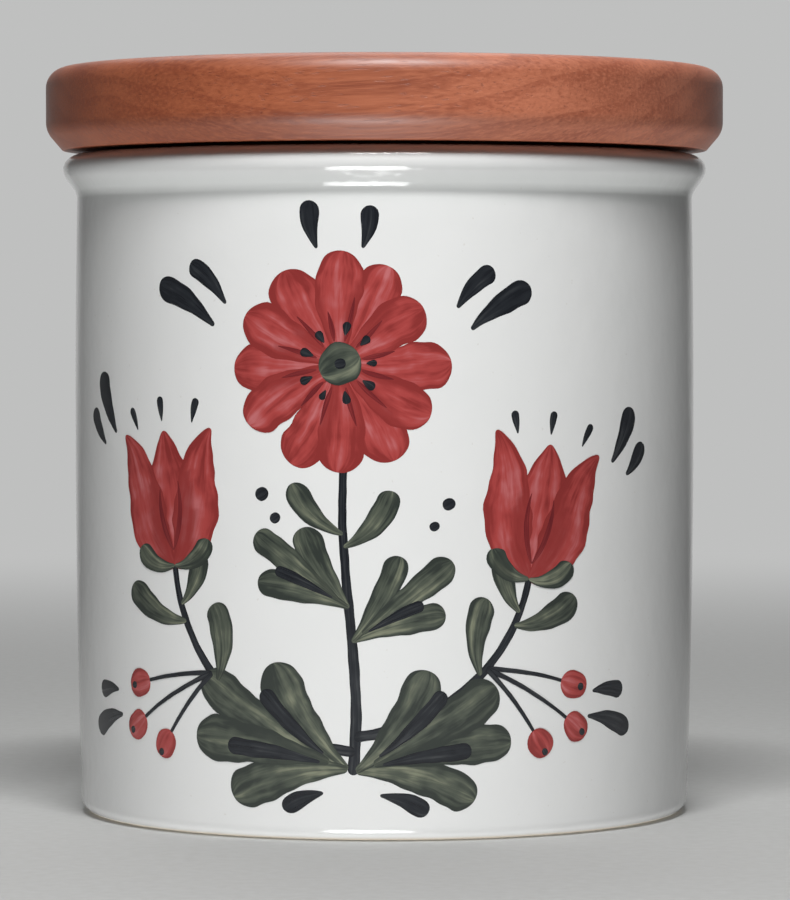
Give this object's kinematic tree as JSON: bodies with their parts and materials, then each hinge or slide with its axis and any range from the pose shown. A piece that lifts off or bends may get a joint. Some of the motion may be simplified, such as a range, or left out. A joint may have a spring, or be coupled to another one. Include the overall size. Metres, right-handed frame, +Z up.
{
  "type": "spice jar",
  "caption": "Straight-sided glazed ceramic spice jar with a collar rim and a flat turned wooden lid, held in the mouth by a finned seal ring.",
  "frame": {"origin": "centre of the foot, on the plane that the jar stands on", "axes": "+Z up along the jar's axis; -Y is the side that carries the painted decoration; the lid's wood grain runs along X"},
  "size_m": [0.0744, 0.0744, 0.0815],
  "materials": {
    "glaze": "clear gloss glaze over a white body",
    "beech": "fine-sanded, oiled, satin",
    "silicone": "translucent white, matt",
    "paint_red": "hand-brushed red under the glaze",
    "paint_green": "hand-brushed grey-green under the glaze",
    "paint_black": "hand-brushed blue-black under the glaze"
  },
  "bodies": {
    "jar": {"jar": "glaze"},
    "lid": {"lid": "beech", "seal_ring": "silicone"}
  },
  "joints": [
    {"name": "lid_lift", "type": "slide", "parent": "jar", "child": "lid", "axis": [0, 0, 1], "range_m": [0, 0.06]}
  ]
}
